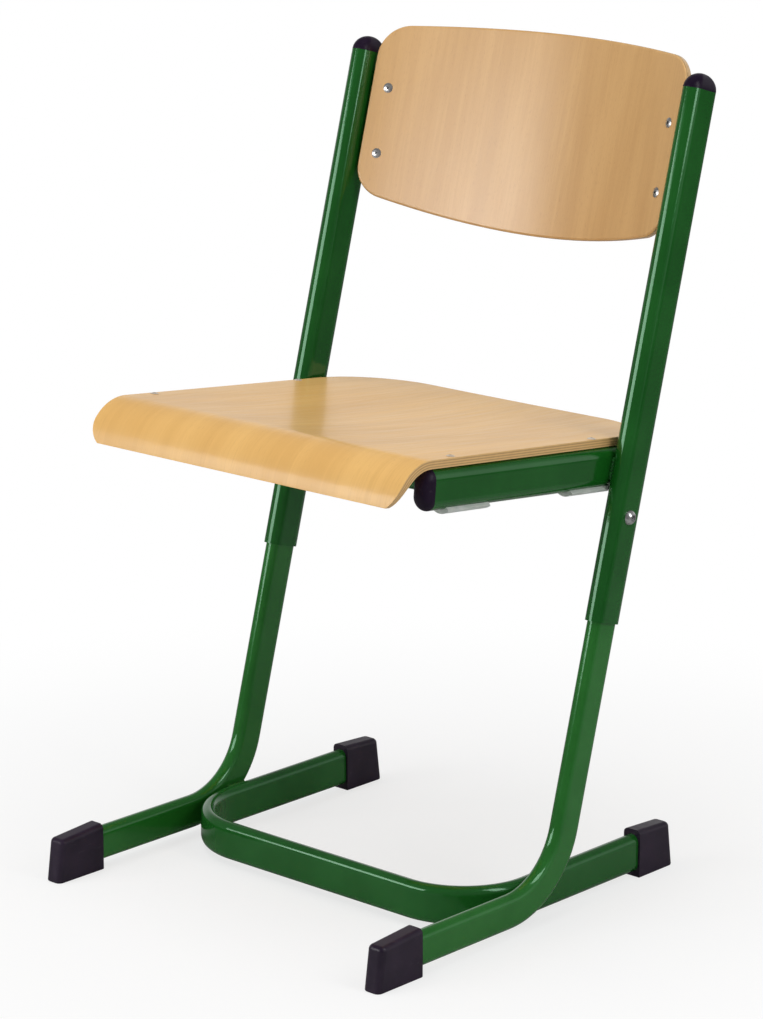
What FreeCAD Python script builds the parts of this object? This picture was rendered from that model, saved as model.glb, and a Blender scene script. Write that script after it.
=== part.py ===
import FreeCAD, Part
import math
import os
import re
import Sketcher
from FreeCAD import Vector

# Height-adjustable school chair: steel frame of flat-oval tube, moulded plywood seat and back.
# The chair faces -Y, +Z is up, and the origin is on the floor below the middle of the chair.

document = FreeCAD.newDocument("school_chair")
sheet = document.addObject("Spreadsheet::Sheet", "dims")

# Driving dimensions in millimetres and degrees.
# A height "along the stile" is measured on the leaning stile axis, up from the floor.
DRIVING = {
    # Leaning axis of the stiles and legs
    "lean": 15.25,
    "axis_floor_y": -4.5,
    "stile_half_spacing": 205.3,
    # Stile tube, heights along the stile
    "stile_long": 38,
    "stile_short": 20,
    "stile_wall": 2,
    "sleeve_end": 281,
    "stile_top": 776.5,
    # Leg tube, which slides in the stile and bends forward into the front foot
    "leg_long": 33.2,
    "leg_short": 15.2,
    "leg_wall": 1.6,
    "leg_top": 452,
    "leg_bend": 82,
    "leg_front_end": -236,
    "foot_height": 24,
    # U-shaped base tube, a little taller than the legs
    "base_long": 37.2,
    "base_short": 15.2,
    "base_wall": 1.6,
    "arm_half_spacing": 190,
    "arm_rear_end": 184,
    "bar_y": -94.5,
    "bar_bend": 75,
    # Plastic shoes on the four tube ends
    "shoe_width": 19.6,
    "shoe_slope": 6,
    "shoe_round": 5,
    "sole_round": 1.5,
    "shoe_end_round": 6,
    "shoe_tip_wall": 9,
    "front_shoe_height": 46,
    "front_shoe_drop": 4,
    "front_shoe_tip": -246,
    "front_shoe_back": -187.5,
    "rear_shoe_height": 47.5,
    "rear_shoe_drop": 2.5,
    "rear_shoe_tip": 193,
    "rear_shoe_back": 140,
    # Seat rails, welded to the inner faces of the stiles
    "seat_tilt": 5.5,
    "rail_half_spacing": 185.2,
    "rail_rear_y": 126.5,
    "rail_rear_z": 407.5,
    "rail_long": 38,
    "rail_short": 20,
    "rail_wall": 1.5,
    "rail_length": 278,
    # Cross tube between the rails under the front of the seat
    "cross_y": -133.5,
    "cross_z": 438.8,
    "cross_long": 38,
    "cross_short": 20,
    # Pads under the rails, starts measured forward from the rear end of the rail
    "pad_gap": 0.05,
    "pad_thick": 4,
    "pad_side_angle": 47,
    "pad_length": 57,
    "rear_pad_start": 31,
    "front_pad_start": 202,
    # Domed plastic caps in the tube ends
    "stile_cap_dome": 15,
    "rail_cap_dome": 13,
    "cap_stem": 22,
    "cap_fit": 0.1,
    "plug_lip": 3,
    # Plywood seat: side profile with a rolled front lip, then the outline seen from above
    "seat_thick": 8,
    "lip_y": -199.3,
    "lip_z": 425.75,
    "lip_angle": 78,
    "lip_flat": 1,
    "roll_radius": 44.5,
    "seat_blank_rear": 189,
    "rail_strip": 14,
    "dish_side": 0.1,
    "dish_between": 2.9,
    "dish_middle": 4.5,
    "seat_half_width": 192.6,
    "seat_rear_half_width": 189,
    "seat_rear_y": 184.5,
    "seat_corner": 78,
    "seat_front_y": -205,
    # Rounded lower corners of the lip, seen from the front
    "lip_corner": 28.4,
    "lip_corner_top": 449,
    "lip_corner_low": 423,
    "lip_corner_rear": -150,
    # Plywood back, heights along the stile
    "back_thick": 8,
    "back_radius": 519.4,
    "back_centre": 485.4,
    "back_half_width": 192,
    "back_top": 817.6,
    "back_bottom": 622.6,
    "back_top_arch": 1300,
    "back_bottom_arch": 1030,
    "back_top_corner": 34,
    "back_bottom_corner": 30,
    "back_edge_round": 2,
    # Brackets and rivets of the back
    "rivet_x": 174.4,
    "rivet_high": 743.6,
    "rivet_low": 678.6,
    "bracket_thick": 3,
    "bracket_reach": 17,
    "bracket_bottom": 662,
    "bracket_height": 98,
    "rivet_bore": 5,
    "rivet_shank": 4.8,
    "rivet_head": 9.6,
    "rivet_bulb": 7.4,
    "rivet_head_high": 1.2,
    "rivet_dome": 9,
    "rivet_rim": 0.3,
    "rivet_clear": 0.03,
    "mandrel_bore": 2.8,
    "mandrel_depth": 2,
    "bulb_length": 3,
    "tail_length": 4.5,
    # Rivets of the seat, measured forward along the rail
    "seat_rivet_front": 250,
    "seat_rivet_rear": 54,
    "seat_lift": 0.48,
    "seat_rivet_head": 8,
    # Height setting: screw, square nut and slot, height along the stile at rest
    "bolt_height": 380.5,
    "bolt_shank": 8,
    "bolt_bore": 8.4,
    "bolt_head": 14,
    "bolt_head_high": 4.4,
    "bolt_tip": -3,
    "socket_size": 5,
    "socket_depth": 2.6,
    "nut_size": 13,
    "nut_thick": 6.5,
    "nut_gap": 0.3,
    "nut_bore": 8.05,
    "travel_up": 52,
    "travel_down": 31,
    "slot_width": 8.8,
    # Lengths of waste: cuts that go right through, and blanks left over before trimming
    "cut_through": 600,
    "waste_reach": 260,
    "trim_margin": 5,
}

# Sizes that follow from the driving dimensions
DERIVED = {
    "stile_bore_long": "stile_long - 2 * stile_wall",
    "stile_bore_short": "stile_short - 2 * stile_wall",
    "leg_bore_long": "leg_long - 2 * leg_wall",
    "leg_bore_short": "leg_short - 2 * leg_wall",
    "base_bore_long": "base_long - 2 * base_wall",
    "base_bore_short": "base_short - 2 * base_wall",
    "rail_bore_long": "rail_long - 2 * rail_wall",
    "rail_bore_short": "rail_short - 2 * rail_wall",
    "leg_corner_y": "axis_floor_y + foot_height * tan(lean)",
    "leg_bend_reach": "leg_bend * tan((90 - lean) / 2)",
    "back_angle": "asin(rivet_x / back_radius) / 1 deg",
    "back_rear_radius": "back_radius + back_thick",
    "bracket_face_x": "stile_half_spacing - stile_short / 2 - 0.1",
    "cross_length": "2 * rail_half_spacing - rail_short - 0.2",
    "cross_bore_long": "cross_long - 2 * rail_wall",
    "cross_bore_short": "cross_short - 2 * rail_wall",
    "top_arch_z": "back_top - back_top_arch",
    "top_corner_z": "top_arch_z + sqrt((back_top_arch - back_top_corner) ^ 2"
    " - (back_half_width - back_top_corner) ^ 2)",
    "top_tangent_x": "back_top_arch * (back_half_width - back_top_corner)"
    " / (back_top_arch - back_top_corner)",
    "top_tangent_z": "top_arch_z + back_top_arch * (top_corner_z - top_arch_z)"
    " / (back_top_arch - back_top_corner)",
    "bottom_arch_z": "back_bottom + back_bottom_arch",
    "bottom_corner_z": "bottom_arch_z - sqrt((back_bottom_arch - back_bottom_corner) ^ 2"
    " - (back_half_width - back_bottom_corner) ^ 2)",
    "bottom_tangent_x": "back_bottom_arch * (back_half_width - back_bottom_corner)"
    " / (back_bottom_arch - back_bottom_corner)",
    "bottom_tangent_z": "bottom_arch_z + back_bottom_arch * (bottom_corner_z - bottom_arch_z)"
    " / (back_bottom_arch - back_bottom_corner)",
}

row = 0
for name, value in DRIVING.items():
    row += 1
    sheet.set("A%d" % row, name)
    sheet.set("B%d" % row, str(value))
    sheet.setAlias("B%d" % row, name)
for name, formula in DERIVED.items():
    row += 1
    sheet.set("A%d" % row, name)
    sheet.set("B%d" % row, "=" + formula)
    sheet.setAlias("B%d" % row, name)
document.recompute()

SHEET_NAMES = set(DRIVING) | set(DERIVED)
SCRATCH_CELL = "D1"


def bound(formula):
    """The formula as an expression that reads its names from the sheet."""

    def from_sheet(word):
        name = word.group()
        return "dims." + name if name in SHEET_NAMES else name

    return re.sub(r"[a-z_]+", from_sheet, formula)


def number(formula):
    """The present value of a formula in sheet names."""
    sheet.set(SCRATCH_CELL, "=" + formula)
    sheet.recompute()
    return float(sheet.get(SCRATCH_CELL))


def frame(x="0", y="0", z="0", axis="1; 0; 0", angle="0"):
    """A placement expression: a shift by sheet formulas, then a turn about an axis."""
    shift = "vector(%s; %s; %s)" % (bound(x), bound(y), bound(z))
    return "placement(%s; rotation(vector(%s); %s))" % (shift, axis, bound(angle))


STILE_AXIS = frame(y="axis_floor_y", angle="-lean")
STILE_FRAME = frame(x="stile_half_spacing", y="axis_floor_y", angle="-lean")
LEG_FRAME = frame(x="stile_half_spacing")
ARM_FRAME = frame(x="arm_half_spacing")
RAIL_FRAME = frame(x="rail_half_spacing", y="rail_rear_y", z="rail_rear_z", angle="-seat_tilt")


def new_body(label, place):
    body = document.addObject("PartDesign::Body", label)
    body.setExpression("Placement", place)
    return body


def new_sketch(body, plane, x="0", y="0", z="0", axis="1; 0; 0", angle="0"):
    """A sketch on one of the body's own planes, shifted and turned in the sketch's own axes."""
    sketch = body.newObject("Sketcher::SketchObject", body.Name + "_sketch")
    support = [feature for feature in body.Origin.OriginFeatures if feature.Role == plane][0]
    sketch.AttachmentSupport = [(support, "")]
    sketch.MapMode = "FlatFace"
    sketch.setExpression("AttachmentOffset", frame(x, y, z, axis, angle))
    return sketch


def bind_constraint(sketch, kind, *facts):
    """Adds a measured constraint, its last fact being the formula that drives it."""
    places, formula = facts[:-1], facts[-1]
    index = sketch.addConstraint(Sketcher.Constraint(kind, *places, number(formula)))
    sketch.setExpression("Constraints[%d]" % index, bound(formula))


def flat_oval(sketch, long_size, short_size, along="y"):
    """A flat-oval section about the sketch origin, two straight sides joined by half circles."""
    radius = number(short_size) / 2
    reach = number(long_size) / 2 - radius
    if along == "y":
        ends = (Vector(0, reach, 0), Vector(0, -reach, 0))
        turn, side, apart = 0, "Vertical", "DistanceY"
    else:
        ends = (Vector(reach, 0, 0), Vector(-reach, 0, 0))
        turn, side, apart = -math.pi / 2, "Horizontal", "DistanceX"
    upward = Vector(0, 0, 1)
    far_arc = Part.ArcOfCircle(Part.Circle(ends[0], upward, radius), turn, turn + math.pi)
    near_arc = Part.ArcOfCircle(Part.Circle(ends[1], upward, radius), turn + math.pi, turn + 2 * math.pi)
    far = sketch.addGeometry(far_arc)
    down = sketch.addGeometry(Part.LineSegment(far_arc.EndPoint, near_arc.StartPoint))
    near = sketch.addGeometry(near_arc)
    back = sketch.addGeometry(Part.LineSegment(near_arc.EndPoint, far_arc.StartPoint))
    for first, second in ((far, down), (down, near), (near, back), (back, far)):
        sketch.addConstraint(Sketcher.Constraint("Tangent", first, 2, second, 1))
    sketch.addConstraint(Sketcher.Constraint(side, down))
    sketch.addConstraint(Sketcher.Constraint("Equal", far, near))
    sketch.addConstraint(Sketcher.Constraint("Symmetric", far, 3, near, 3, -1, 1))
    bind_constraint(sketch, "Radius", far, "(%s) / 2" % short_size)
    bind_constraint(sketch, apart, near, 3, far, 3, "(%s) - (%s)" % (long_size, short_size))


def circle(sketch, diameter, x="0", y="0"):
    place = Vector(number(x), number(y), 0)
    ring = sketch.addGeometry(Part.Circle(place, Vector(0, 0, 1), number(diameter) / 2))
    bind_constraint(sketch, "Diameter", ring, diameter)
    for kind, formula in (("DistanceX", x), ("DistanceY", y)):
        if formula == "0":
            on_axis = -2 if kind == "DistanceX" else -1
            sketch.addConstraint(Sketcher.Constraint("PointOnObject", ring, 3, on_axis))
        else:
            bind_constraint(sketch, kind, -1, 1, ring, 3, formula)


def minor_arc(start, end, radius, turn):
    """The shorter arc between two points; turn is 1 for anticlockwise travel and -1 for clockwise."""
    chord = end - start
    middle = (start + end) * 0.5
    height = math.sqrt(max(radius ** 2 - chord.Length ** 2 / 4, 0))
    left = Vector(-chord.y, chord.x, 0) / chord.Length
    centre = middle + left * height * turn
    first, last = (start, end) if turn > 0 else (end, start)
    begin = math.atan2(first.y - centre.y, first.x - centre.x)
    finish = math.atan2(last.y - centre.y, last.x - centre.x)
    return Part.ArcOfCircle(Part.Circle(centre, Vector(0, 0, 1), radius), begin, finish)


def outline(sketch, corners, closed=True):
    """Lines and arcs through corners given as sheet formulas.

    A corner is (x, y), reached by a line, or (x, y, radius, turn), reached by an arc.
    """
    points = [Vector(number(corner[0]), number(corner[1]), 0) for corner in corners]
    pairs = list(range(1, len(corners))) + ([0] if closed else [])
    ends = []
    for index in pairs:
        start, end, corner = points[index - 1], points[index], corners[index]
        if len(corner) == 2:
            edge = sketch.addGeometry(Part.LineSegment(start, end))
            ends.append((edge, 1, 2))
        else:
            radius, turn = corner[2], corner[3]
            edge = sketch.addGeometry(minor_arc(start, end, number(radius), turn))
            ends.append((edge, 1, 2) if turn > 0 else (edge, 2, 1))
            bind_constraint(sketch, "Radius", edge, radius)
    joints = list(zip(ends, ends[1:])) + ([(ends[-1], ends[0])] if closed else [])
    for before, after in joints:
        sketch.addConstraint(Sketcher.Constraint("Coincident", before[0], before[2], after[0], after[1]))
    placed = [(ends[-1][0], ends[-1][2])] if closed else [(ends[0][0], ends[0][1])]
    placed += [(end[0], end[2]) for end in ends[:len(corners) - 1]]
    for (edge, vertex), corner, point in zip(placed, corners, points):
        measures = (("DistanceX", corner[0], point.x), ("DistanceY", corner[1], point.y))
        for kind, formula, present in measures:
            if abs(present) < 1e-9:
                on_axis = -2 if kind == "DistanceX" else -1
                sketch.addConstraint(Sketcher.Constraint("PointOnObject", edge, vertex, on_axis))
            else:
                bind_constraint(sketch, kind, -1, 1, edge, vertex, formula)


def pad(body, sketch, length, reverse=False):
    feature = body.newObject("PartDesign::Pad", body.Name + "_pad")
    feature.Profile = sketch
    feature.setExpression("Length", bound(length))
    feature.Reversed = reverse
    document.recompute()
    return feature


def pocket(body, sketch, length, reverse=False, both_ways=False):
    """Cuts the sketch into the body and checks that something was removed."""
    before = body.Shape.Volume
    feature = body.newObject("PartDesign::Pocket", body.Name + "_pocket")
    feature.Profile = sketch
    if both_ways:
        feature.SideType = "Symmetric"
    feature.setExpression("Length", bound(length))
    feature.Reversed = reverse
    document.recompute()
    if body.Shape.Volume > before - 0.5:
        raise RuntimeError(body.Name + ": a pocket cut nothing")
    return feature


def round_edges(body, radius, chosen):
    """Rounds the edges of the body's last feature that a test picks out."""
    last = body.Tip
    names = ["Edge%d" % (i + 1) for i, edge in enumerate(last.Shape.Edges) if chosen(edge)]
    if not names:
        raise RuntimeError(body.Name + ": no edges to round")
    feature = body.newObject("PartDesign::Fillet", body.Name + "_round")
    feature.Base = (last, names)
    feature.setExpression("Radius", bound(radius))
    document.recompute()
    return feature


def sweep(body, section, path, edge_count):
    feature = body.newObject("PartDesign::AdditivePipe", body.Name + "_pipe")
    feature.Profile = section
    feature.Spine = (path, ["Edge%d" % (i + 1) for i in range(edge_count)])
    document.recompute()
    return feature


def mirrored(source, label):
    """The same piece on the other side of the chair."""
    copy = document.addObject("Part::Mirroring", label)
    copy.Source = source
    copy.Normal = Vector(1, 0, 0)
    copy.Base = Vector(0, 0, 0)
    return copy


nodes = []


def both_sides(right):
    """Keeps a right-hand piece and its mirror image as two nodes."""
    nodes.append(right)
    nodes.append(mirrored(right, right.Name.replace("_right", "_left")))


# Stiles: straight leaning tubes, open below as sleeves for the legs
stile = new_body("stile_right", STILE_FRAME)
section = new_sketch(stile, "XY_Plane", z="sleeve_end")
flat_oval(section, "stile_long", "stile_short")
flat_oval(section, "stile_bore_long", "stile_bore_short")
pad(stile, section, "stile_top - sleeve_end")
bolt_hole = new_sketch(stile, "YZ_Plane", y="bolt_height", z="stile_short")
circle(bolt_hole, "bolt_bore")
pocket(stile, bolt_hole, "stile_short")
both_sides(stile)

# Legs: bent tubes, with a slot for the screw of the height setting in the outer wall
leg = new_body("leg_right", LEG_FRAME)
section = new_sketch(leg, "XZ_Plane", y="foot_height", z="-leg_front_end")
flat_oval(section, "leg_long", "leg_short")
flat_oval(section, "leg_bore_long", "leg_bore_short")
path = new_sketch(leg, "YZ_Plane")
outline(path, [
    ("leg_front_end", "foot_height"),
    ("leg_corner_y - leg_bend_reach", "foot_height"),
    (
        "leg_corner_y + leg_bend_reach * sin(lean)",
        "foot_height + leg_bend_reach * cos(lean)",
        "leg_bend",
        1,
    ),
    ("axis_floor_y + leg_top * sin(lean)", "leg_top * cos(lean)"),
], closed=False)
sweep(leg, section, path, 3)
slot_middle = "(bolt_height + (travel_up - travel_down) / 2)"
slot = new_sketch(
    leg, "YZ_Plane",
    x="axis_floor_y + %s * sin(lean)" % slot_middle,
    y="%s * cos(lean)" % slot_middle,
    z="leg_short",
    axis="0; 0; 1",
    angle="-lean",
)
flat_oval(slot, "travel_up + travel_down + slot_width + 1", "slot_width")
pocket(leg, slot, "leg_short")
both_sides(leg)

# Guide plugs in the upper ends of the legs
leg_plug = new_body("leg_plug_right", STILE_FRAME)
lip = new_sketch(leg_plug, "XY_Plane", z="leg_top")
flat_oval(lip, "leg_long", "leg_short")
pad(leg_plug, lip, "plug_lip")
stem = new_sketch(leg_plug, "XY_Plane", z="leg_top - cap_stem / 2")
flat_oval(stem, "leg_bore_long - 2 * cap_fit", "leg_bore_short - 2 * cap_fit")
pad(leg_plug, stem, "cap_stem / 2")
both_sides(leg_plug)

# Base tube: one U, its front is the cross bar and its arms run back to the rear feet
base_tube = new_body("base_tube", frame())
section = new_sketch(base_tube, "XZ_Plane", x="arm_half_spacing", y="foot_height", z="-arm_rear_end")
flat_oval(section, "base_long", "base_short")
flat_oval(section, "base_bore_long", "base_bore_short")
path = new_sketch(base_tube, "XY_Plane", z="foot_height")
outline(path, [
    ("arm_half_spacing", "arm_rear_end"),
    ("arm_half_spacing", "bar_y + bar_bend"),
    ("arm_half_spacing - bar_bend", "bar_y", "bar_bend", -1),
    ("bar_bend - arm_half_spacing", "bar_y"),
    ("-arm_half_spacing", "bar_y + bar_bend", "bar_bend", -1),
    ("-arm_half_spacing", "arm_rear_end"),
], closed=False)
sweep(base_tube, section, path, 5)
nodes.append(base_tube)


def foot_shoe(label, place, kind, tube, outward):
    """A plastic shoe with a sloping end and a socket for the tube; outward is -1 to the front."""
    tip, back, height, drop = (kind + name for name in ("_tip", "_back", "_height", "_drop"))
    shoe = new_body(label, place)
    side = new_sketch(shoe, "YZ_Plane", z="-shoe_width / 2")
    set_back = "%s - %d * shoe_slope" % (tip, outward)
    outline(side, [(tip, "0"), (back, "0"), (back, height), (set_back, "%s - %s" % (height, drop))])
    pad(shoe, side, "shoe_width")
    back_y, low_top = number(back), number("%s - %s" % (height, drop))

    def off_the_back(edge):
        return abs(edge.CenterOfMass.y - back_y) > 1

    def on_end(edge):
        """True for the two upright edges of the sloping end."""
        return edge.BoundBox.ZLength > 0.9 * low_top and off_the_back(edge)

    def on_top(edge):
        """True for the edges round the top, all but the one over the socket."""
        return edge.BoundBox.ZMin > low_top - 0.5 and off_the_back(edge)

    def on_sole(edge):
        return edge.BoundBox.ZMax < 0.01

    round_edges(shoe, "shoe_end_round", on_end)
    round_edges(shoe, "shoe_round", on_top)
    round_edges(shoe, "sole_round", on_sole)
    socket = new_sketch(shoe, "XZ_Plane", y="foot_height", z="-" + back)
    flat_oval(socket, tube + "_long + 2 * cap_fit", tube + "_short + 2 * cap_fit")
    pocket(shoe, socket, "abs(%s - %s) - shoe_tip_wall" % (back, tip), reverse=outward < 0)
    both_sides(shoe)


foot_shoe("front_foot_cap_right", LEG_FRAME, "front_shoe", "leg", -1)
foot_shoe("rear_foot_cap_right", ARM_FRAME, "rear_shoe", "base", 1)

# Seat rails: tilted tubes that run forward from the stiles
rail = new_body("seat_rail_right", RAIL_FRAME)
section = new_sketch(rail, "XZ_Plane")
flat_oval(section, "rail_long", "rail_short")
flat_oval(section, "rail_bore_long", "rail_bore_short")
pad(rail, section, "rail_length")
rivet_holes = new_sketch(rail, "XY_Plane")
circle(rivet_holes, "rivet_bore", y="-seat_rivet_front")
circle(rivet_holes, "rivet_bore", y="-seat_rivet_rear")
pocket(rail, rivet_holes, "rail_long", reverse=True)
both_sides(rail)

# Cross tube: the same tube laid flat between the rails
cross_tube = new_body("cross_tube", frame(y="cross_y", z="cross_z", angle="-seat_tilt"))
section = new_sketch(cross_tube, "YZ_Plane", z="-cross_length / 2")
flat_oval(section, "cross_long", "cross_short", along="x")
flat_oval(section, "cross_bore_long", "cross_bore_short", along="x")
pad(cross_tube, section, "cross_length")
nodes.append(cross_tube)


def saddle_pad(label, start):
    """A soft pad that wraps the lower half of the rail."""
    saddle = new_body(label, RAIL_FRAME)
    section = new_sketch(saddle, "XZ_Plane", y="-(rail_long - rail_short) / 2", z=start)
    inner, outer = "(rail_short / 2 + pad_gap)", "(rail_short / 2 + pad_gap + pad_thick)"
    across, down = "cos(pad_side_angle)", "sin(pad_side_angle)"
    outline(section, [
        ("-%s * %s" % (inner, across), "-%s * %s" % (inner, down), inner, -1),
        ("-%s * %s" % (outer, across), "-%s * %s" % (outer, down)),
        ("%s * %s" % (outer, across), "-%s * %s" % (outer, down), outer, 1),
        ("%s * %s" % (inner, across), "-%s * %s" % (inner, down)),
    ])
    pad(saddle, section, "pad_length")
    both_sides(saddle)


saddle_pad("rail_pad_front_right", "front_pad_start")
saddle_pad("rail_pad_rear_right", "rear_pad_start")


DOME_ANGLES = (0, 25, 45, 62, 75, 84)


def domed_cap(label, place, plane, start, tube, dome):
    """A cap with an elliptical dome outside the tube end and a stem inside it."""
    cap = new_body(label, place)
    rings = []
    for angle in DOME_ANGLES:
        ring = new_sketch(cap, plane, z="%s + %s * sin(%d)" % (start, dome, angle))
        flat_oval(ring, "%s_long * cos(%d)" % (tube, angle), "%s_short * cos(%d)" % (tube, angle))
        rings.append(ring)
    loft = cap.newObject("PartDesign::AdditiveLoft", label + "_dome")
    loft.Profile = rings[0]
    loft.Sections = rings[1:]
    document.recompute()
    stem = new_sketch(cap, plane, z=start)
    flat_oval(stem, "%s_bore_long - 2 * cap_fit" % tube, "%s_bore_short - 2 * cap_fit" % tube)
    pad(cap, stem, "cap_stem", reverse=True)
    both_sides(cap)


domed_cap("stile_cap_right", STILE_FRAME, "XY_Plane", "stile_top", "stile", "stile_cap_dome")
domed_cap("rail_front_cap_right", RAIL_FRAME, "XZ_Plane", "rail_length", "rail", "rail_cap_dome")

# Flat plugs in the rear ends of the rails
rear_plug = new_body("rail_rear_cap_right", RAIL_FRAME)
lip = new_sketch(rear_plug, "XZ_Plane")
flat_oval(lip, "rail_long", "rail_short")
pad(rear_plug, lip, "plug_lip", reverse=True)
round_edges(rear_plug, "plug_lip / 2", lambda edge: edge.BoundBox.YMin > number("plug_lip") - 0.01)
stem = new_sketch(rear_plug, "XZ_Plane")
flat_oval(stem, "rail_bore_long - 2 * cap_fit", "rail_bore_short - 2 * cap_fit")
pad(rear_plug, stem, "cap_stem")
both_sides(rear_plug)

# Seat: side profiles lofted across the width, trimmed to the outline seen from above
seat = new_body("seat_shell", frame())


def seat_section(x, dish):
    """One side profile of the seat; dish is the angle by which the top sags between front and rear."""
    steep, slope = "lip_angle", "(seat_tilt + %s)" % dish
    roll_end_y = "(lip_y + lip_flat * cos(%s))" % steep
    roll_end_z = "(lip_z + lip_flat * sin(%s))" % steep
    start_y = "(%s + roll_radius * (sin(%s) + sin(%s)))" % (roll_end_y, steep, slope)
    start_z = "(%s + roll_radius * (cos(%s) - cos(%s)))" % (roll_end_z, slope, steep)
    run = "(seat_blank_rear - %s)" % start_y
    rear_z = "(%s - %s * tan(seat_tilt))" % (start_z, run)
    sag_radius = "(%s / cos(seat_tilt) / (2 * sin(%s)))" % (run, dish)
    rear_slope = "(seat_tilt - %s)" % dish
    sketch = new_sketch(seat, "YZ_Plane", z=x)
    outline(sketch, [
        ("seat_blank_rear", rear_z),
        (start_y, start_z, sag_radius, -1),
        (roll_end_y, roll_end_z, "roll_radius", 1),
        ("lip_y", "lip_z"),
        ("lip_y + seat_thick * sin(%s)" % steep, "lip_z - seat_thick * cos(%s)" % steep),
        (
            "%s + seat_thick * sin(%s)" % (roll_end_y, steep),
            "%s - seat_thick * cos(%s)" % (roll_end_z, steep),
        ),
        (
            "%s - seat_thick * sin(%s)" % (start_y, slope),
            "%s - seat_thick * cos(%s)" % (start_z, slope),
            "roll_radius - seat_thick",
            -1,
        ),
        (
            "seat_blank_rear - seat_thick * sin(%s)" % rear_slope,
            "%s - seat_thick * cos(%s)" % (rear_z, rear_slope),
            "%s + seat_thick" % sag_radius,
            1,
        ),
    ])
    return sketch


SEAT_STATIONS = [
    ("seat_half_width + trim_margin", "dish_side"),
    ("rail_half_spacing - rail_strip", "dish_side"),
    ("seat_half_width / 2", "dish_between"),
    ("0", "dish_middle"),
    ("-seat_half_width / 2", "dish_between"),
    ("rail_strip - rail_half_spacing", "dish_side"),
    ("-seat_half_width - trim_margin", "dish_side"),
]
profiles = [seat_section(x, dish) for x, dish in SEAT_STATIONS]
loft = seat.newObject("PartDesign::AdditiveLoft", "seat_loft")
loft.Profile = profiles[0]
loft.Sections = profiles[1:]
document.recompute()

waste = new_sketch(seat, "XY_Plane")
outline(waste, [
    ("waste_reach", "-waste_reach"),
    ("waste_reach", "waste_reach"),
    ("-waste_reach", "waste_reach"),
    ("-waste_reach", "-waste_reach"),
])
outline(waste, [
    ("seat_half_width", "seat_front_y"),
    ("seat_rear_half_width", "seat_rear_y - seat_corner"),
    ("seat_rear_half_width - seat_corner", "seat_rear_y", "seat_corner", 1),
    ("seat_corner - seat_rear_half_width", "seat_rear_y"),
    ("-seat_rear_half_width", "seat_rear_y - seat_corner", "seat_corner", 1),
    ("-seat_half_width", "seat_front_y"),
])
pocket(seat, waste, "cut_through", reverse=True)
lip_waste = new_sketch(seat, "XZ_Plane", z="-lip_corner_rear")
narrowest = "(seat_half_width - lip_corner + sqrt(lip_corner ^ 2 - (lip_corner_top - lip_corner_low) ^ 2))"
for sign, turn in (("", -1), ("-", 1)):
    outline(lip_waste, [
        (sign + "seat_half_width", "lip_corner_top"),
        (sign + narrowest, "lip_corner_low", "lip_corner", turn),
        (sign + "waste_reach", "lip_corner_low"),
        (sign + "waste_reach", "lip_corner_top"),
    ])
pocket(seat, lip_waste, "waste_reach", reverse=True)
seat_holes = new_sketch(seat, "XY_Plane", y="rail_rear_y", z="rail_rear_z", angle="-seat_tilt")
for side in ("rail_half_spacing", "-rail_half_spacing"):
    for along in ("-seat_rivet_front", "-seat_rivet_rear"):
        circle(seat_holes, "rivet_bore", side, along)
pocket(seat, seat_holes, "cut_through", both_ways=True)
nodes.append(seat)

# Back: a curved band trimmed to its outline seen from the front
back = new_body("back_panel", STILE_AXIS)
band = new_sketch(back, "XY_Plane", z="back_bottom - trim_margin")
edge_x = "(back_half_width + trim_margin)"
front_y = "sqrt(back_radius ^ 2 - %s ^ 2) - back_centre" % edge_x
rear_y = "sqrt(back_rear_radius ^ 2 - %s ^ 2) - back_centre" % edge_x
outline(band, [
    ("-" + edge_x, front_y),
    (edge_x, front_y, "back_radius", -1),
    (edge_x, rear_y),
    ("-" + edge_x, rear_y, "back_rear_radius", 1),
])
pad(back, band, "back_top - back_bottom + 2 * trim_margin")
waste = new_sketch(back, "XZ_Plane")
low, high = "back_bottom - 2 * trim_margin", "back_top + 2 * trim_margin"
outline(waste, [("waste_reach", low), ("waste_reach", high), ("-waste_reach", high), ("-waste_reach", low)])
outline(waste, [
    ("back_half_width", "bottom_corner_z", "back_bottom_corner", 1),
    ("back_half_width", "top_corner_z"),
    ("top_tangent_x", "top_tangent_z", "back_top_corner", 1),
    ("-top_tangent_x", "top_tangent_z", "back_top_arch", 1),
    ("-back_half_width", "top_corner_z", "back_top_corner", 1),
    ("-back_half_width", "bottom_corner_z"),
    ("-bottom_tangent_x", "bottom_tangent_z", "back_bottom_corner", 1),
    ("bottom_tangent_x", "bottom_tangent_z", "back_bottom_arch", 1),
])
pocket(back, waste, "cut_through", both_ways=True)
round_edges(back, "back_edge_round", lambda edge: edge.Length > 12)

RIVET_Y = "(back_radius * cos(back_angle) - back_centre)"


def rivet_bores(body, side):
    """Two holes square to the back's surface; side is 1 on the right and -1 on the left."""
    sign = "" if side > 0 else "-"
    turn = "-back_angle" if side > 0 else "back_angle"
    sketch = new_sketch(
        body, "XZ_Plane",
        x=sign + "rivet_x", y="rivet_low", z="-" + RIVET_Y,
        axis="0; 1; 0", angle=turn,
    )
    circle(sketch, "rivet_bore")
    circle(sketch, "rivet_bore", y="rivet_high - rivet_low")
    pocket(body, sketch, "cut_through", both_ways=True)


rivet_bores(back, 1)
rivet_bores(back, -1)
nodes.append(back)

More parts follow.
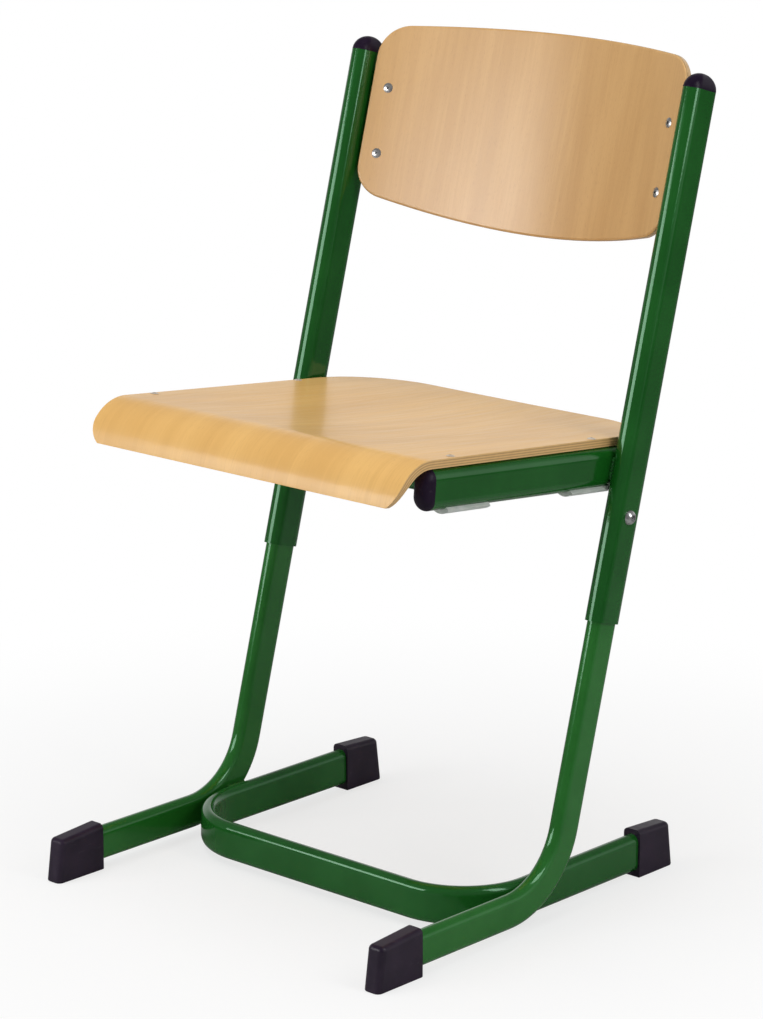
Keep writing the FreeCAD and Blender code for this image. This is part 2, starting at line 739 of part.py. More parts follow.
# Brackets: plates that lie along the rear of the back and meet the inner faces of the stiles
bracket = new_body("back_bracket_right", STILE_AXIS)
contact_x = "(back_rear_radius * sin(back_angle))"
contact_y = "(back_rear_radius * cos(back_angle) - back_centre)"
section = new_sketch(bracket, "XY_Plane", z="bracket_bottom")
front_run = "((bracket_face_x - %s) / cos(back_angle))" % contact_x
rear_run = "((bracket_face_x - %s - bracket_thick * sin(back_angle)) / cos(back_angle))" % contact_x
outline(section, [
    (
        "%s - bracket_reach * cos(back_angle)" % contact_x,
        "%s + bracket_reach * sin(back_angle)" % contact_y,
    ),
    ("bracket_face_x", "%s - %s * sin(back_angle)" % (contact_y, front_run)),
    (
        "bracket_face_x",
        "%s + bracket_thick * cos(back_angle) - %s * sin(back_angle)" % (contact_y, rear_run),
    ),
    (
        "%s + bracket_thick * sin(back_angle) - bracket_reach * cos(back_angle)" % contact_x,
        "%s + bracket_thick * cos(back_angle) + bracket_reach * sin(back_angle)" % contact_y,
    ),
])
pad(bracket, section, "bracket_height")
rivet_bores(bracket, 1)
both_sides(bracket)


def rivet(label, place, grip, head):
    """A blind rivet along its own Z: domed head with the mandrel hole, shank, and bulb behind the grip."""
    body = new_body(label, place)
    half = new_sketch(body, "XZ_Plane")
    outline(half, [
        ("0", "-mandrel_depth"),
        ("mandrel_bore / 2", "-mandrel_depth"),
        ("mandrel_bore / 2", "rivet_head_high"),
        ("%s / 2" % head, "rivet_rim", "rivet_dome", -1),
        ("%s / 2" % head, "rivet_clear"),
        ("rivet_shank / 2", "rivet_clear"),
        ("rivet_shank / 2", "-(%s)" % grip),
        ("rivet_bulb / 2", "-(%s)" % grip),
        ("rivet_bulb / 2", "-(%s) - bulb_length" % grip),
        ("mandrel_bore / 2", "-(%s) - tail_length" % grip),
        ("0", "-(%s) - tail_length" % grip),
    ])
    turned = body.newObject("PartDesign::Revolution", label + "_turned")
    turned.Profile = half
    turned.ReferenceAxis = (half, ["V_Axis"])
    turned.Angle = 360
    document.recompute()
    return body


def rivet_group(label, rivets):
    """Rivets of one kind on both sides of the chair, kept as one node."""
    others = [mirrored(one, one.Name + "_mirrored") for one in rivets]
    group = document.addObject("Part::Compound", label)
    group.Links = rivets + others
    nodes.append(group)


back_places = [
    " * ".join([
        STILE_AXIS,
        frame(x="rivet_x", y=RIVET_Y, z=height, axis="0; 0; 1", angle="-back_angle"),
        frame(angle="90"),
    ])
    for height in ("rivet_low", "rivet_high")
]
rivet_group("back_rivets", [
    rivet("back_rivet_%d" % (i + 1), place, "back_thick + bracket_thick + 0.1", "rivet_head")
    for i, place in enumerate(back_places)
])
seat_places = [
    RAIL_FRAME + " * " + frame(y="-" + along, z="rail_long / 2 + seat_lift + seat_thick")
    for along in ("seat_rivet_front", "seat_rivet_rear")
]
rivet_group("seat_rivets", [
    rivet("seat_rivet_%d" % (i + 1), place, "seat_thick + seat_lift + rail_wall + 1.1", "seat_rivet_head")
    for i, place in enumerate(seat_places)
])

# Height setting: a button-head screw through the stile and the slot, and its nut inside the leg
SETTING_FRAME = STILE_FRAME + " * " + frame(z="bolt_height")
bolt = new_body("height_bolt_right", SETTING_FRAME)
half = new_sketch(bolt, "XZ_Plane")
head_top = "(stile_short / 2 + bolt_head_high)"
outline(half, [
    ("bolt_tip", "0"),
    (head_top, "0"),
    (head_top, "socket_size * 0.75"),
    ("stile_short / 2 + 0.4", "bolt_head / 2", "7", 1),
    ("stile_short / 2 + 0.02", "bolt_head / 2"),
    ("stile_short / 2 + 0.02", "bolt_shank / 2"),
    ("bolt_tip + 0.8", "bolt_shank / 2"),
    ("bolt_tip", "bolt_shank / 2 - 0.8"),
])
turned = bolt.newObject("PartDesign::Revolution", "bolt_turned")
turned.Profile = half
turned.ReferenceAxis = (half, ["H_Axis"])
turned.Angle = 360
document.recompute()
socket = new_sketch(bolt, "YZ_Plane", z=head_top)
reach = "(socket_size / sqrt(3))"
outline(socket, [
    ("%s * cos(%d)" % (reach, angle), "%s * sin(%d)" % (reach, angle))
    for angle in (30, 90, 150, 210, 270, 330)
])
pocket(bolt, socket, "socket_depth")
both_sides(bolt)

nut = new_body("clamp_nut_right", SETTING_FRAME)
square = new_sketch(nut, "YZ_Plane", z="leg_bore_short / 2 - nut_gap - nut_thick")
edge = "nut_size / 2"
outline(square, [(edge, "-" + edge), (edge, edge), ("-" + edge, edge), ("-" + edge, "-" + edge)])
circle(square, "nut_bore")
pad(nut, square, "nut_thick")
both_sides(nut)

sheet.clear(SCRATCH_CELL)
document.recompute()

# Every object is checked, then each node is written to its own file
for part in document.Objects:
    if "Invalid" in part.State or "Error" in part.State:
        raise RuntimeError(part.Name + ": " + str(part.State))
for node in nodes:
    if node.Shape.isNull() or not node.Shape.isValid() or not node.Shape.Solids:
        raise RuntimeError(node.Name + ": no valid solid")

os.makedirs("parts", exist_ok=True)
for node in nodes:
    node.Shape.exportStep("parts/%s.step" % node.Name)
    print(node.Name, len(node.Shape.Solids), round(node.Shape.Volume))
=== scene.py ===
import math

import bmesh
import bpy
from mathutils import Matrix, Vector


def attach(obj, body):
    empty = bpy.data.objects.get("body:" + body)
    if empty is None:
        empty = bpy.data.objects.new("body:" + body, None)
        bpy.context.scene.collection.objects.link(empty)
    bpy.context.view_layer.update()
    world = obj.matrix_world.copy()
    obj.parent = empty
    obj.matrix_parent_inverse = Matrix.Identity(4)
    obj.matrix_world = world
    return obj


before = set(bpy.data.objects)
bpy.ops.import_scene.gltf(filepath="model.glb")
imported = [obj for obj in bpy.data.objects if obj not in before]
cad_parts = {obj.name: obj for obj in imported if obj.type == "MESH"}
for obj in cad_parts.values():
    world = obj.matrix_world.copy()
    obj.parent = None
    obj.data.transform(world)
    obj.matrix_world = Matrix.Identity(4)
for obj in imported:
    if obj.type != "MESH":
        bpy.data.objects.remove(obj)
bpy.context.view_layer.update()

# Sizes of the chair in metres and angles in radians, the same as in its solids
LEAN = math.radians(15.25)
AXIS_FLOOR_Y = -0.0045
BACK_RADIUS = 0.5194
BACK_CENTRE = 0.4854
SEAT_TILT = math.radians(5.5)
ROLL_RADIUS = 0.0445
ROLL_START = (-0.1512, 0.4618)
CROSS_CENTRE = (-0.1335, 0.4388)
CROSS_LONG, CROSS_SHORT = 0.038, 0.020
PLY_THICK = 0.008
PLY_LAYERS = 7

# Colour sockets of the mix node, whose names repeat for numbers and vectors
MIX_FIRST, MIX_SECOND, MIX_RESULT = 6, 7, 2


class Graph:
    """Builds the nodes of one material or of the world; most of its methods return an output socket."""

    def __init__(self, name, tree=None):
        if tree is None:
            self.material = bpy.data.materials.new(name)
            self.material.use_nodes = True
            tree = self.material.node_tree
        self.tree = tree
        self.tree.nodes.clear()

    def add(self, kind, **settings):
        node = self.tree.nodes.new(kind)
        for key, value in settings.items():
            setattr(node, key, value)
        return node

    def feed(self, socket, value):
        """Links a socket to an input, or sets the input to a constant."""
        if isinstance(value, bpy.types.NodeSocket):
            self.tree.links.new(value, socket)
        elif value is not None:
            socket.default_value = value

    def math(self, operation, first, second=None):
        node = self.add("ShaderNodeMath", operation=operation)
        self.feed(node.inputs[0], first)
        self.feed(node.inputs[1], second)
        return node.outputs[0]

    def weighted(self, *terms):
        """The sum of values, each times its weight."""
        parts = [self.math("MULTIPLY", value, weight) for value, weight in terms]
        total = parts[0]
        for part in parts[1:]:
            total = self.math("ADD", total, part)
        return total

    def pick(self, switch, on, off):
        """The value on where the switch is 1, and off where it is 0."""
        return self.weighted((on, switch), (off, self.math("SUBTRACT", 1.0, switch)))

    def vector_math(self, operation, first, second=None):
        node = self.add("ShaderNodeVectorMath", operation=operation)
        self.feed(node.inputs[0], first)
        self.feed(node.inputs[1], second)
        return node.outputs["Value" if operation in ("DOT_PRODUCT", "LENGTH") else "Vector"]

    def coordinates(self, output="Object"):
        return self.add("ShaderNodeTexCoord").outputs[output]

    def split(self, vector):
        node = self.add("ShaderNodeSeparateXYZ")
        self.feed(node.inputs[0], vector)
        return node.outputs

    def join(self, x, y, z):
        node = self.add("ShaderNodeCombineXYZ")
        for socket, value in zip(node.inputs, (x, y, z)):
            self.feed(socket, value)
        return node.outputs[0]

    def turned(self, vector, angle):
        """The vector turned about X by an angle in radians."""
        node = self.add("ShaderNodeVectorRotate", rotation_type="X_AXIS")
        self.feed(node.inputs["Vector"], vector)
        node.inputs["Angle"].default_value = angle
        return node.outputs[0]

    def scaled(self, vector, scale):
        return self.vector_math("MULTIPLY", vector, scale)

    def noise(self, vector, scale, detail, roughness, distortion=0.0):
        node = self.add("ShaderNodeTexNoise")
        self.feed(node.inputs["Vector"], vector)
        node.inputs["Scale"].default_value = scale
        node.inputs["Detail"].default_value = detail
        node.inputs["Roughness"].default_value = roughness
        node.inputs["Distortion"].default_value = distortion
        return node.outputs["Fac"]

    def ease(self, value, low, high, out_low=0.0, out_high=1.0):
        """Maps low to out_low and high to out_high with a smooth step between."""
        node = self.add("ShaderNodeMapRange", interpolation_type="SMOOTHSTEP")
        for name, setting in (("Value", value), ("From Min", low), ("From Max", high),
                              ("To Min", out_low), ("To Max", out_high)):
            self.feed(node.inputs[name], setting)
        return node.outputs[0]

    def mix(self, factor, first, second):
        """A colour between two colours, each a socket or three numbers."""
        node = self.add("ShaderNodeMix", data_type="RGBA")
        self.feed(node.inputs["Factor"], factor)
        for index, colour in ((MIX_FIRST, first), (MIX_SECOND, second)):
            self.feed(node.inputs[index], (*colour, 1.0) if isinstance(colour, tuple) else colour)
        return node.outputs[MIX_RESULT]

    def bump(self, height, strength, distance, normal=None):
        node = self.add("ShaderNodeBump")
        node.inputs["Strength"].default_value = strength
        node.inputs["Distance"].default_value = distance
        self.feed(node.inputs["Height"], height)
        self.feed(node.inputs["Normal"], normal)
        return node.outputs[0]

    def seen(self):
        """1 for rays straight from the camera or through clear plastic, and 0 for the rest."""
        path = self.add("ShaderNodeLightPath")
        return self.math("ADD", path.outputs["Is Camera Ray"], path.outputs["Is Transmission Ray"])

    def show(self, shader, output="ShaderNodeOutputMaterial"):
        """Links a shader to the output node."""
        self.feed(self.add(output).inputs["Surface"], shader.outputs[0])

    def surface(self, base, roughness, normal, **constants):
        """The finished material; further inputs of its shader are constants named in words."""
        shader = self.add("ShaderNodeBsdfPrincipled")
        self.feed(shader.inputs["Base Color"], base)
        self.feed(shader.inputs["Roughness"], roughness)
        self.feed(shader.inputs["Normal"], normal)
        for key, value in constants.items():
            shader.inputs[key.replace("_", " ").title().replace("Ior", "IOR")].default_value = value
        self.show(shader)
        return self.material


# Wood

SEAT_TONES = ((0.84, 0.505, 0.170), (0.75, 0.430, 0.134), (0.52, 0.27, 0.083))
BACK_TONES = ((0.655, 0.390, 0.153), (0.585, 0.335, 0.122), (0.43, 0.22, 0.079))
PLY_EDGE_LIGHT = (0.69, 0.44, 0.18)
PLY_EDGE_DARK = (0.46, 0.27, 0.105)

# Pace of the seat's grain down the lip and through the plies, against its pace along the seat
LIP_PACE = 0.6
PLY_PACE = 0.2


def veneer(graph, along_grain, edge, depth, tones, coat_weight, coat_roughness):
    """Lacquered beech: bands, fine grain and flecks on the faces, plies on the edges.

    along_grain is a vector with the grain along Z; edge is 1 on the cut edges; depth is the
    distance below the upper face; tones are the light, dark and fleck colours.
    """
    def fibres(stretch, scale, detail, roughness, distortion=0.0):
        """Noise drawn out along the grain."""
        drawn = graph.scaled(along_grain, (1.0, 1.0, stretch))
        return graph.noise(drawn, scale, detail, roughness, distortion)

    light, dark, fleck_tone = tones
    bands = fibres(0.12, scale=26.0, detail=3.0, roughness=0.55, distortion=0.4)
    lines = fibres(0.018, scale=620.0, detail=4.0, roughness=0.62)
    streaks = fibres(0.05, scale=150.0, detail=3.0, roughness=0.6, distortion=0.3)
    flecks = fibres(0.16, scale=1500.0, detail=1.0, roughness=0.4)
    tone = graph.weighted((bands, 0.55), (lines, 0.25), (streaks, 0.20))
    face = graph.mix(graph.ease(tone, 0.38, 0.64), dark, light)
    face = graph.mix(graph.math("MULTIPLY", graph.ease(flecks, 0.60, 0.74), 0.28), face, fleck_tone)

    layer = graph.math("MULTIPLY", depth, PLY_LAYERS / PLY_THICK)
    swing = graph.math("SINE", graph.math("MULTIPLY", layer, math.pi))
    fibre_ends = fibres(0.3, scale=700.0, detail=3.0, roughness=0.6)
    end_tone = graph.weighted((swing, 0.5), (fibre_ends, 0.6))
    plies = graph.mix(graph.ease(end_tone, -0.2, 0.8), PLY_EDGE_DARK, PLY_EDGE_LIGHT)
    base = graph.mix(edge, face, plies)

    gloss = fibres(0.06, scale=240.0, detail=3.0, roughness=0.6)
    face_roughness = graph.ease(gloss, 0.3, 0.7, 0.30, 0.40)
    roughness = graph.math("ADD", face_roughness, graph.math("MULTIPLY", edge, 0.2))
    normal = graph.bump(graph.weighted((lines, 0.7), (swing, edge)), strength=0.16, distance=0.00018)
    ripple = graph.noise(graph.coordinates(), scale=9.0, detail=1.0, roughness=0.4)
    normal = graph.bump(ripple, strength=0.06, distance=0.002, normal=normal)
    return graph.surface(base, roughness, normal, coat_weight=coat_weight, coat_roughness=coat_roughness,
                         specular_ior_level=0.4)


def back_wood():
    """Grain runs up the back; the plies follow its curve."""
    graph = Graph("beech_ply_back")
    here = graph.vector_math("SUBTRACT", graph.coordinates(), (0.0, AXIS_FLOOR_Y, 0.0))
    upright = graph.turned(here, LEAN)
    x, y, _ = graph.split(upright)
    radial = graph.join(x, graph.math("ADD", y, BACK_CENTRE), 0.0)
    radius = graph.vector_math("LENGTH", radial)
    depth = graph.math("SUBTRACT", radius, BACK_RADIUS)
    facing = graph.turned(graph.coordinates("Normal"), LEAN)
    outward = graph.math("DIVIDE", graph.vector_math("DOT_PRODUCT", facing, radial), radius)
    edge = graph.ease(graph.math("ABSOLUTE", outward), 0.75, 0.45)
    return veneer(graph, upright, edge, depth, BACK_TONES, coat_weight=1.0, coat_roughness=0.25)


def seat_wood():
    """Grain runs from the rear over the rolled lip; the plies follow the side profile."""
    graph = Graph("beech_ply_seat")
    x, y, z = graph.split(graph.coordinates())
    start_y, start_z = ROLL_START
    fall = graph.math("MULTIPLY", graph.math("SUBTRACT", y, start_y), math.tan(SEAT_TILT))
    drop = graph.math("SUBTRACT", graph.math("SUBTRACT", start_z, fall), z)
    below_flat = graph.math("MULTIPLY", drop, math.cos(SEAT_TILT))
    centre_y = start_y - ROLL_RADIUS * math.sin(SEAT_TILT)
    centre_z = start_z - ROLL_RADIUS * math.cos(SEAT_TILT)
    spoke = graph.join(0.0, graph.math("SUBTRACT", y, centre_y), graph.math("SUBTRACT", z, centre_z))
    below_roll = graph.math("SUBTRACT", ROLL_RADIUS, graph.vector_math("LENGTH", spoke))
    rolled = graph.math("LESS_THAN", y, start_y)
    depth = graph.pick(rolled, below_roll, below_flat)
    facing = graph.coordinates("Normal")
    flat_up = (0.0, math.sin(SEAT_TILT), math.cos(SEAT_TILT))
    on_flat = graph.vector_math("DOT_PRODUCT", facing, flat_up)
    on_roll = graph.vector_math("DOT_PRODUCT", facing, graph.vector_math("NORMALIZE", spoke))
    outward = graph.pick(rolled, graph.math("ABSOLUTE", on_roll), graph.math("ABSOLUTE", on_flat))
    edge = graph.ease(outward, 0.85, 0.65)
    run = graph.math("SUBTRACT", y, graph.math("MULTIPLY", z, LIP_PACE))
    along_grain = graph.join(x, graph.math("MULTIPLY", depth, PLY_PACE), run)
    return veneer(graph, along_grain, edge, depth, SEAT_TONES, coat_weight=0.25, coat_roughness=0.16)


# Paint, plastic and steel

PAINT_SHEEN = (0.40, 1.0, 0.58, 1.0)
PAINT_WORN = (0.13, 0.26, 0.14)
PLASTIC_RUBBED = (0.10, 0.09, 0.105)
PAD_CLEAR = (0.62, 0.68, 0.63)
PAD_MILKY = (0.80, 0.83, 0.80)


def paint(name, light, dark):
    """Gloss powder coat with orange peel, slightly uneven colour and faint scuffs."""
    graph = Graph(name)
    here = graph.coordinates()
    cloud = graph.noise(here, scale=14.0, detail=3.0, roughness=0.55)
    speck = graph.noise(here, scale=900.0, detail=2.0, roughness=0.5)
    base = graph.mix(graph.ease(cloud, 0.35, 0.68), dark, light)
    base = graph.mix(graph.math("MULTIPLY", graph.ease(speck, 0.62, 0.80), 0.25), base, light)
    scuff = graph.noise(graph.scaled(here, (1.0, 0.5, 0.08)), scale=420.0, detail=4.0, roughness=0.7)
    patch = graph.noise(here, scale=23.0, detail=2.0, roughness=0.5)
    worn = graph.math("MULTIPLY", graph.ease(scuff, 0.66, 0.74), graph.ease(patch, 0.56, 0.66))
    base = graph.mix(graph.math("MULTIPLY", worn, 0.35), base, PAINT_WORN)
    smooth = graph.ease(cloud, 0.3, 0.7, 0.10, 0.16)
    roughness = graph.math("ADD", smooth, graph.math("MULTIPLY", worn, 0.2))
    peel = graph.noise(here, scale=330.0, detail=1.0, roughness=0.4)
    normal = graph.bump(peel, strength=0.10, distance=0.0004)
    return graph.surface(base, roughness, normal, specular_ior_level=0.5, specular_tint=PAINT_SHEEN,
                         coat_weight=0.4, coat_roughness=0.06)


def plastic(name, light, dark, roughness_low, specular):
    """Moulded black plastic with a fine spark texture and a rubbed tone."""
    graph = Graph(name)
    here = graph.coordinates()
    cloud = graph.noise(here, scale=30.0, detail=3.0, roughness=0.6)
    base = graph.mix(graph.ease(cloud, 0.35, 0.70), dark, light)
    spark = graph.noise(here, scale=1600.0, detail=2.0, roughness=0.6)
    scuff = graph.noise(graph.scaled(here, (1.0, 0.2, 1.0)), scale=300.0, detail=4.0, roughness=0.7)
    rubbed = graph.math("MULTIPLY", graph.ease(scuff, 0.60, 0.74), 0.18)
    base = graph.mix(rubbed, base, PLASTIC_RUBBED)
    roughness = graph.ease(cloud, 0.3, 0.7, roughness_low, roughness_low + 0.12)
    normal = graph.bump(spark, strength=0.22, distance=0.0003)
    return graph.surface(base, roughness, normal, specular_ior_level=specular)


def soft_pad():
    """Milky translucent plastic."""
    graph = Graph("pad_plastic")
    here = graph.coordinates()
    cloud = graph.noise(here, scale=60.0, detail=3.0, roughness=0.6)
    base = graph.mix(graph.ease(cloud, 0.35, 0.70), PAD_CLEAR, PAD_MILKY)
    roughness = graph.ease(cloud, 0.3, 0.7, 0.30, 0.42)
    grain = graph.noise(here, scale=700.0, detail=2.0, roughness=0.5)
    normal = graph.bump(grain, strength=0.15, distance=0.0003)
    return graph.surface(base, roughness, normal, transmission_weight=0.35, ior=1.45)


def plated(name, light, dark, roughness_low, metallic):
    """Zinc-plated steel with a brushed, slightly cloudy finish; less metallic where it is dull."""
    graph = Graph(name)
    here = graph.coordinates()
    cloud = graph.noise(here, scale=160.0, detail=4.0, roughness=0.6)
    brush = graph.noise(graph.scaled(here, (1.0, 0.2, 1.0)), scale=1800.0, detail=2.0, roughness=0.6)
    base = graph.mix(graph.ease(cloud, 0.32, 0.70), dark, light)
    roughness = graph.ease(brush, 0.3, 0.7, roughness_low, roughness_low + 0.14)
    normal = graph.bump(brush, strength=0.10, distance=0.0002)
    return graph.surface(base, roughness, normal, metallic=metallic)


frame_paint = paint("green_paint", light=(0.008, 0.092, 0.010), dark=(0.005, 0.074, 0.007))
base_paint = paint("green_paint_base", light=(0.013, 0.110, 0.016), dark=(0.009, 0.090, 0.011))
leg_paint = paint("green_paint_legs", light=(0.021, 0.147, 0.021), dark=(0.014, 0.122, 0.014))
cap_plastic = plastic("cap_plastic", light=(0.015, 0.007, 0.021), dark=(0.009, 0.004, 0.014),
                      roughness_low=0.30, specular=0.15)
shoe_plastic = plastic("shoe_plastic", light=(0.022, 0.011, 0.029), dark=(0.013, 0.006, 0.019),
                       roughness_low=0.34, specular=0.38)
pad_plastic = soft_pad()
zinc = plated("zinc_steel", light=(0.72, 0.72, 0.71), dark=(0.52, 0.52, 0.53),
              roughness_low=0.22, metallic=1.0)
dull_zinc = plated("zinc_steel_dull", light=(0.72, 0.64, 0.55), dark=(0.60, 0.53, 0.45),
                   roughness_low=0.34, metallic=0.35)

# The finish of each solid by the start of its name; the first that fits holds
FINISHES = (
    ("seat_shell", seat_wood()),
    ("back_panel", back_wood()),
    ("seat_rivets", dull_zinc),
    ("stile_cap", cap_plastic),
    ("rail_front_cap", cap_plastic),
    ("rail_rear_cap", cap_plastic),
    ("leg_plug", cap_plastic),
    ("front_foot_cap", shoe_plastic),
    ("rear_foot_cap", shoe_plastic),
    ("rail_pad", pad_plastic),
    ("leg", leg_paint),
    ("base_tube", base_paint),
    ("stile", frame_paint),
    ("seat_rail", frame_paint),
    ("cross_tube", frame_paint),
    ("back_bracket", frame_paint),
    ("back_rivets", zinc),
    ("height_bolt", zinc),
    ("clamp_nut", zinc),
)

for node_name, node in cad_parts.items():
    node.data.materials.clear()
    node.data.materials.append(next(finish for start, finish in FINISHES if node_name.startswith(start)))


# Weld seams, which the solids leave out

BEAD_SIDES = 10
BEAD_STEP = 0.0006
RIPPLE_PITCH = 0.0028
RIPPLE_SHARE = 0.16
END_POWER = 8
END_LEAST = 0.05

# Each rail seam by its middle, across and along the axis of the stile; each bracket seam by its lower end
RAIL_SEAMS = (("front", -0.014, 0.4220), ("rear", 0.014, 0.4267))
RAIL_SEAM_X = 0.1960
RAIL_SEAM_HALF = 0.0105
RAIL_SEAM_RADIUS = 0.0022
BRACKET_SEAMS = (("low", 0.668), ("high", 0.734))
BRACKET_SEAM_X = 0.1947
BRACKET_SEAM_ACROSS = 0.0087
BRACKET_SEAM_LENGTH = 0.020
BRACKET_SEAM_RADIUS = 0.0016
CROSS_SEAM_X = 0.1745
CROSS_SEAM_RADIUS = 0.0016
FOOT_SEAM_X = 0.1970
FOOT_SEAM_FRONT_Y, FOOT_SEAM_REAR_Y = -0.017, 0.008
FOOT_SEAM_Z = 0.0393
FOOT_SEAM_RADIUS = 0.0023


def bead(name, body, path, radius, closed=False):
    """A rippled tube along a path that does not run along X; open ends taper."""
    mesh = bpy.data.meshes.new(name)
    shape = bmesh.new()
    across = Vector((1.0, 0.0, 0.0))
    turns = [math.tau * side / BEAD_SIDES for side in range(BEAD_SIDES)]
    last = len(path) - 1
    rings = []
    for index, point in enumerate(path):
        before = path[index - 1] if closed or index > 0 else point
        after = path[(index + 1) % len(path)] if closed or index < last else point
        rise = (after - before).normalized().cross(across)
        size = radius * (1.0 + RIPPLE_SHARE * math.sin(math.tau * index * BEAD_STEP / RIPPLE_PITCH))
        if not closed:
            size *= math.sqrt(max(1.0 - (2.0 * index / last - 1.0) ** END_POWER, END_LEAST))
        spots = [point + (across * math.cos(turn) + rise * math.sin(turn)) * size for turn in turns]
        rings.append([shape.verts.new(spot) for spot in spots])
    pairs = list(zip(rings, rings[1:])) + ([(rings[-1], rings[0])] if closed else [])
    for ring, following in pairs:
        for side in range(BEAD_SIDES):
            beside = (side + 1) % BEAD_SIDES
            shape.faces.new((ring[side], ring[beside], following[beside], following[side]))
    if not closed:
        shape.faces.new(rings[0])
        shape.faces.new(rings[-1])
    bmesh.ops.recalc_face_normals(shape, faces=shape.faces)
    for face in shape.faces:
        face.smooth = True
    shape.to_mesh(mesh)
    shape.free()
    mesh.materials.append(frame_paint if body == "upper_frame" else leg_paint)
    piece = bpy.data.objects.new(name, mesh)
    bpy.context.scene.collection.objects.link(piece)
    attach(piece, body)


def straight(start, end):
    """Points a bead step apart from start to end."""
    count = round((end - start).length / BEAD_STEP)
    return [start.lerp(end, index / count) for index in range(count + 1)]


def by_stile(x, across, height):
    """A point given across and along the leaning axis of the stiles."""
    y = AXIS_FLOOR_Y + height * math.sin(LEAN) + across * math.cos(LEAN)
    return Vector((x, y, height * math.cos(LEAN) - across * math.sin(LEAN)))


def round_cross_tube(x):
    """Points round the flat-oval section of the cross tube, at its end."""
    reach, radius = (CROSS_LONG - CROSS_SHORT) / 2, CROSS_SHORT / 2
    half = 2 * reach + math.pi * radius
    count = round(2 * half / BEAD_STEP)
    points = []
    for index in range(count):
        run = index / count * 2 * half
        side = 1 if run < half else -1
        run %= half
        if run < 2 * reach:
            along, up = reach - run, radius
        else:
            turn = (run - 2 * reach) / radius
            along, up = -reach - radius * math.sin(turn), radius * math.cos(turn)
        along, up = along * side, up * side
        y = CROSS_CENTRE[0] + along * math.cos(SEAT_TILT) + up * math.sin(SEAT_TILT)
        z = CROSS_CENTRE[1] - along * math.sin(SEAT_TILT) + up * math.cos(SEAT_TILT)
        points.append(Vector((x, y, z)))
    return points


for side, sign in (("right", 1), ("left", -1)):
    x = sign * RAIL_SEAM_X
    for place, across, height in RAIL_SEAMS:
        low, high = height - RAIL_SEAM_HALF, height + RAIL_SEAM_HALF
        seam = straight(by_stile(x, across, low), by_stile(x, across, high))
        bead("weld_rail_%s_%s" % (place, side), "upper_frame", seam, RAIL_SEAM_RADIUS)
    x = sign * BRACKET_SEAM_X
    for place, low in BRACKET_SEAMS:
        high = low + BRACKET_SEAM_LENGTH
        seam = straight(by_stile(x, BRACKET_SEAM_ACROSS, low), by_stile(x, BRACKET_SEAM_ACROSS, high))
        bead("weld_bracket_%s_%s" % (place, side), "upper_frame", seam, BRACKET_SEAM_RADIUS)
    seam = round_cross_tube(sign * CROSS_SEAM_X)
    bead("weld_cross_" + side, "upper_frame", seam, CROSS_SEAM_RADIUS, closed=True)
    x = sign * FOOT_SEAM_X
    seam = straight(Vector((x, FOOT_SEAM_FRONT_Y, FOOT_SEAM_Z)), Vector((x, FOOT_SEAM_REAR_Y, FOOT_SEAM_Z)))
    bead("weld_foot_" + side, "lower_frame", seam, FOOT_SEAM_RADIUS)


# Floor, light and camera

FLOOR_RADIUS = 14.0
FLOOR_SEGMENTS = 96
FLOOR_PALE = (0.90, 0.90, 0.90)
FLOOR_MIRRORED = (0.40, 0.40, 0.40)

# Seen directly, the floor is this share white up to the inner distance and all white from the outer one
WHITE_WITHIN = 0.70
SHADE_INNER, SHADE_OUTER = 0.20, 0.90

# Strength of the studio where it is not seen directly: its dome and its band. The band is full where a
# ray's Z is below and its Y above the second number, and it is gone at the first.
DOME_LEVEL, BAND_LEVEL = 0.21, 0.72
BAND_Z = (0.62, 0.22)
BAND_Y = (-0.35, 0.45)

LAMP_AIM = Vector((0.0, 0.0, 0.40))

# The camera, with its tilt and turn in degrees
PHOTO_HEIGHT = 1019
FOCAL_PIXELS = 3587.09
SENSOR_WIDTH = 36.0
CAMERA_PLACE = (2.19357, -2.40999, 1.19712)
CAMERA_DOWN, CAMERA_TURN = 14.48, 42.38


def make_floor():
    """A pale floor that keeps the chair's shadow near it and fades to white."""
    mesh = bpy.data.meshes.new("floor")
    shape = bmesh.new()
    bmesh.ops.create_circle(shape, cap_ends=True, segments=FLOOR_SEGMENTS, radius=FLOOR_RADIUS)
    shape.to_mesh(mesh)
    shape.free()
    floor = bpy.data.objects.new("floor", mesh)
    bpy.context.scene.collection.objects.link(floor)
    graph = Graph("floor")
    mirrored = graph.add("ShaderNodeLightPath").outputs["Is Glossy Ray"]
    diffuse = graph.add("ShaderNodeBsdfDiffuse")
    graph.feed(diffuse.inputs["Color"], graph.mix(mirrored, FLOOR_PALE, FLOOR_MIRRORED))
    away = graph.vector_math("LENGTH", graph.coordinates())
    white = graph.ease(away, SHADE_INNER, SHADE_OUTER, WHITE_WITHIN, 1.0)
    faded = graph.add("ShaderNodeMixShader")
    graph.feed(faded.inputs[0], graph.math("MULTIPLY", graph.seen(), white))
    graph.feed(faded.inputs[1], diffuse.outputs[0])
    graph.feed(faded.inputs[2], graph.add("ShaderNodeEmission").outputs[0])
    graph.show(faded)
    mesh.materials.append(graph.material)


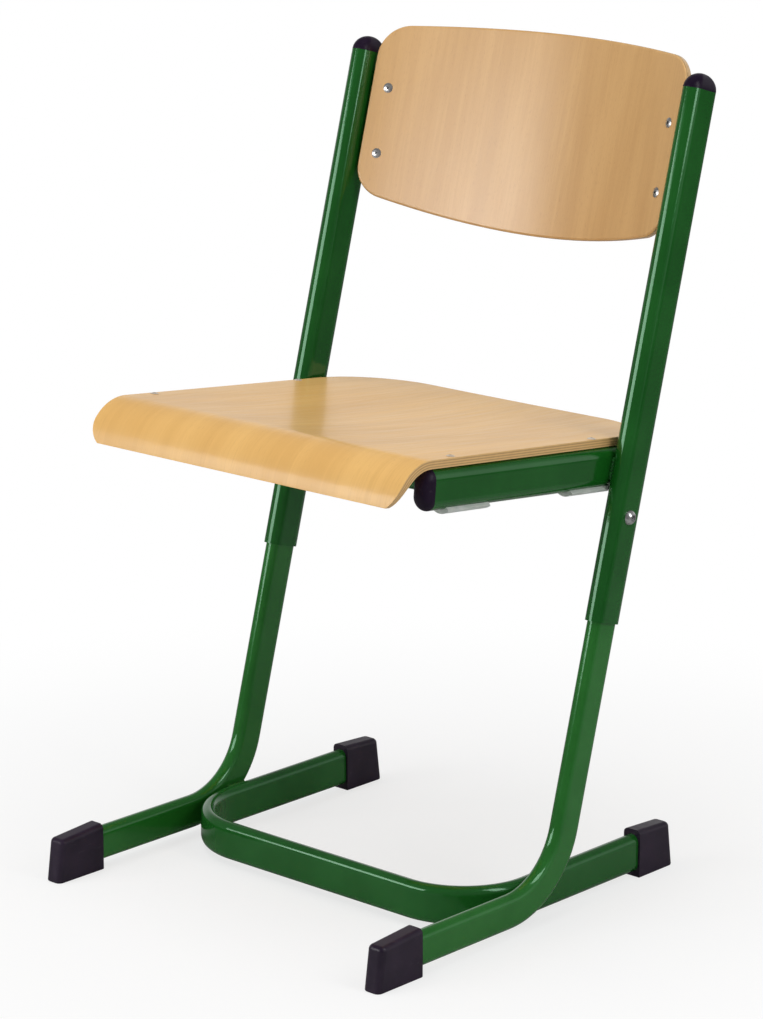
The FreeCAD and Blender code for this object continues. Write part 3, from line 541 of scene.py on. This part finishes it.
def make_world():
    """White where it is seen directly or through clear plastic; what the chair mirrors and is lit by
    is a bright band behind it under a dimmer dome."""
    world = bpy.data.worlds.new("studio")
    world.use_nodes = True
    bpy.context.scene.world = world
    graph = Graph("studio", world.node_tree)
    _, y, z = graph.split(graph.coordinates("Generated"))
    low = graph.ease(z, *BAND_Z)
    behind = graph.ease(y, *BAND_Y)
    level = graph.ease(graph.math("MULTIPLY", low, behind), 0.0, 1.0, DOME_LEVEL, BAND_LEVEL)
    background = graph.add("ShaderNodeBackground")
    background.inputs["Color"].default_value = (1.0, 1.0, 1.0, 1.0)
    graph.feed(background.inputs["Strength"], graph.math("MAXIMUM", level, graph.seen()))
    graph.show(background, "ShaderNodeOutputWorld")


def softbox(name, azimuth, elevation, distance, width, height, watts, in_gloss=True):
    """An area lamp aimed at the middle of the chair; azimuth 0 is in front and 90 towards +X."""
    lamp = bpy.data.lights.new(name, "AREA")
    lamp.shape = "RECTANGLE"
    lamp.size, lamp.size_y = width, height
    lamp.energy = watts
    around, up = math.radians(azimuth), math.radians(elevation)
    outward = Vector((math.sin(around) * math.cos(up), -math.cos(around) * math.cos(up), math.sin(up)))
    holder = bpy.data.objects.new(name, lamp)
    holder.location = LAMP_AIM + outward * distance
    holder.rotation_euler = outward.to_track_quat("Z", "Y").to_euler()
    holder.visible_glossy = in_gloss
    bpy.context.scene.collection.objects.link(holder)


def make_camera():
    """The photo's view point; the sensor's width is fitted to the photo's longer side, its height."""
    data = bpy.data.cameras.new("camera")
    data.sensor_width = SENSOR_WIDTH
    data.lens = FOCAL_PIXELS * SENSOR_WIDTH / PHOTO_HEIGHT
    data.clip_start, data.clip_end = 0.05, 100.0
    camera = bpy.data.objects.new("camera", data)
    camera.location = CAMERA_PLACE
    camera.rotation_euler = (math.radians(90.0 - CAMERA_DOWN), 0.0, math.radians(CAMERA_TURN))
    bpy.context.scene.collection.objects.link(camera)
    bpy.context.scene.camera = camera


make_floor()
make_world()
softbox("front_left_box", azimuth=-26.5, elevation=15.0, distance=2.6, width=1.75, height=0.85, watts=25.0)
softbox("right_box", azimuth=92.0, elevation=34.0, distance=1.5, width=0.46, height=1.04, watts=7.0)
softbox("top_box", azimuth=-20.0, elevation=81.0, distance=2.8, width=2.4, height=2.0, watts=45.0,
        in_gloss=False)
make_camera()
bpy.context.scene.view_settings.view_transform = "Standard"
